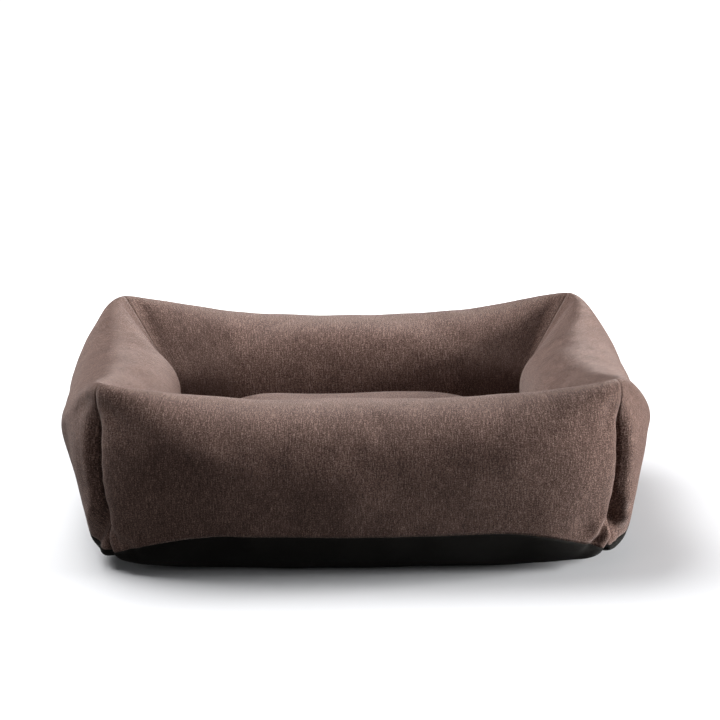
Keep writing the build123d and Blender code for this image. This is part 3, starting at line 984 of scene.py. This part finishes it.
# The edge seam gathers the cloth: short puckers run in from it, longest towards the corners.
points, normals = points_of(cushion), normals_of(cushion)
share = np.abs(points[:, :2]) / cushion_side
by_long_edge = share[:, 1] > share[:, 0]
round_edge = np.where(by_long_edge, points[:, 0], points[:, 1] + 0.37)
insets = np.maximum(cushion_side - np.abs(points[:, :2]), 0)
edge_distance = np.where(by_long_edge, insets[:, 1], insets[:, 0])
pucker_depth, pucker_pitch, pucker_gap = 0.0011, 0.021, 0.003
pucker_reach = 0.016 + 0.02 * share.min(axis=1) ** 4
waves = np.sin(round_edge * 2 * math.pi / pucker_pitch + 2.2 * np.sin(round_edge * 61))
waves *= 0.6 + 0.4 * np.sin(round_edge * 37 + 1.0)
puckers = waves * np.exp(-edge_distance / pucker_reach) * (1 - np.exp(-edge_distance / pucker_gap))
lump_depth = 0.0025
lumps = np.array([noise.noise(Vector(point) * 14.0 + Vector((9.1, 0, 0))) for point in points])
pressed = pucker_depth * puckers + lump_depth * lumps * eased(0.0, 0.05, edge_distance)
lying = 1 - eased(cushion_floor, lying_height, points[:, 2])
pressed *= 1 - np.maximum(flat_by_zip(points, cushion_zip, 0.03), lying)
put_points(cushion, press_to_zip(points - normals * pressed[:, None], cushion_zip))
settle(cushion, cushion_floor)

for name, inset, depth, material, node, slot_name in (
    ("cushion_filling", fill_inset, fill_groove_depth, polyester, "cushion_fill", "fibre_fill"),
    ("cushion_inner_bag", bag_inset, groove_depth, ticking, "cushion_bag", "ticking"),
):
    core = copy_of(cushion, name)
    draw_inside(core, inset, cushion_zip, depth)
    one_cloth(core, material)
    if material == ticking:
        thicken(core, ticking_thickness)
    smooth(core)
    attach(core, "cushion")
    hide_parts(node)

cushion_bottom = part_off(cushion, "cushion_bottom", 1)
cushion.name = "cushion_top"
open_slot(cushion_bottom, cushion_zip)
for cover, node in ((cushion, "cushion_top_cover"), (cushion_bottom, "cushion_bottom_cover")):
    put_cloth_on(cover, "cushion", node, tweed)

# ---------------------------------------------------------------------------------------------------------
# Two coil zips, in the bed's back seam and under the cushion's back edge. Woven tapes carry nylon coils,
# wound in small loops; the stops, slider and pull are die-cast metal with a worn grey finish.
loop_pitch, loop_radius, loop_wire = 0.0015, 0.00090, 0.00025
chain_parting, coil_width, coil_centre = 0.0007, 0.0023, -0.00095
loop_flatness = 0.91


def worn_metal():
    """Grey die-cast metal, paler and smoother where it has been handled."""
    material, nodes, links, shader = new_material("zip metal")
    place = nodes.new("ShaderNodeTexCoord")
    wear = nodes.new("ShaderNodeTexNoise")
    set_inputs(wear, {"Scale": 420.0, "Detail": 5.0})
    links.new(place.outputs["Object"], wear.inputs["Vector"])
    ramp = nodes.new("ShaderNodeValToRGB")
    paint(links, wear.outputs["Fac"], ramp, ((0.10, 0.095, 0.09), (0.32, 0.30, 0.29)), shader)
    ramp.color_ramp.elements[0].position = 0.35
    ramp.color_ramp.elements[1].position = 0.7
    rough = nodes.new("ShaderNodeMapRange")
    set_inputs(rough, {"To Min": 0.5, "To Max": 0.28})
    links.new(wear.outputs["Fac"], rough.inputs["Value"])
    links.new(rough.outputs[0], shader.inputs["Roughness"])
    emboss(links, wear.outputs["Fac"], nodes.new("ShaderNodeBump"), 0.25, 0.0001, shader)
    set_inputs(shader, {"Metallic": 1.0})
    return material


def nylon_coil():
    """Dark drawn nylon with a soft gloss, a little uneven along its turns."""
    material, nodes, links, shader = new_material("nylon coil")
    place = nodes.new("ShaderNodeTexCoord")
    uneven = nodes.new("ShaderNodeTexNoise")
    set_inputs(uneven, {"Scale": 1500.0})
    links.new(place.outputs["Object"], uneven.inputs["Vector"])
    shades = (0.012, 0.009, 0.008), (0.035, 0.026, 0.023)
    paint(links, uneven.outputs["Fac"], nodes.new("ShaderNodeValToRGB"), shades, shader)
    set_inputs(shader, {"Roughness": 0.38})
    return material


zip_tape_cloth = cloth_material(
    "zip tape", yarn=0.0005, slubs=0.05, mottle=0.5,
    shades=[(0.014, 0.010, 0.009), (0.03, 0.022, 0.019), (0.055, 0.042, 0.037)],
    relief=0.5, roughness=0.8, sheen=0.1, sheen_tint=(0.9, 0.85, 0.8), from_object=True,
)
zip_metal = worn_metal()
nylon = nylon_coil()


def wind_coil(name, zipper, side):
    """One half of a zip's chain: a row of small nylon loops along the tape's edge."""
    bpy.ops.object.select_all(action="DESELECT")
    bpy.ops.mesh.primitive_torus_add(major_segments=10, minor_segments=5, major_radius=loop_radius,
                                     minor_radius=loop_wire, rotation=(0, math.pi / 2, 0))
    coil = bpy.context.object
    coil.name = name
    bpy.ops.object.transform_apply(location=False, rotation=True, scale=False)
    turns = int(zipper["length"] / loop_pitch)
    finish_with(coil, "ARRAY", count=turns, use_relative_offset=False, use_constant_offset=True,
                constant_offset_displace=(loop_pitch, 0, 0))
    points = points_of(coil)
    points[:, 0] += side * loop_pitch / 4 - loop_pitch * (turns - 1) / 2
    loop_stretch = coil_width / (2 * (loop_radius + loop_wire))
    up = points[:, 1] * loop_stretch + side * (chain_parting + coil_width / 2)
    out = points[:, 2] * loop_flatness + coil_centre
    lifted = np.outer(up, zipper["up"]) + np.outer(out, zipper["face"])
    put_points(coil, zipper["centre"] + points * (1, 0, 0) + lifted)
    coil.data.materials.append(nylon)
    smooth(coil)
    bpy.ops.object.mode_set(mode="EDIT")
    bpy.ops.mesh.select_all(action="SELECT")
    bpy.ops.mesh.normals_make_consistent(inside=False)
    bpy.ops.object.mode_set(mode="OBJECT")
    return coil


for owner, zipper in (("bed", bed_zip), ("cushion", cushion_zip)):
    for side_name, side in (("upper", 1), ("lower", -1)):
        coil = wind_coil(f"{owner}_{side_name}_coil", zipper, side)
        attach(coil, owner)
        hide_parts(f"{owner}_zip_{side_name}_coil")
    for part, material in (("upper_tape", zip_tape_cloth), ("lower_tape", zip_tape_cloth),
                           ("stops", zip_metal), ("slider", zip_metal), ("pull", zip_metal)):
        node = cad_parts[f"{owner}_zip_{part}"]
        node.data.materials.clear()
        node.data.materials.append(material)
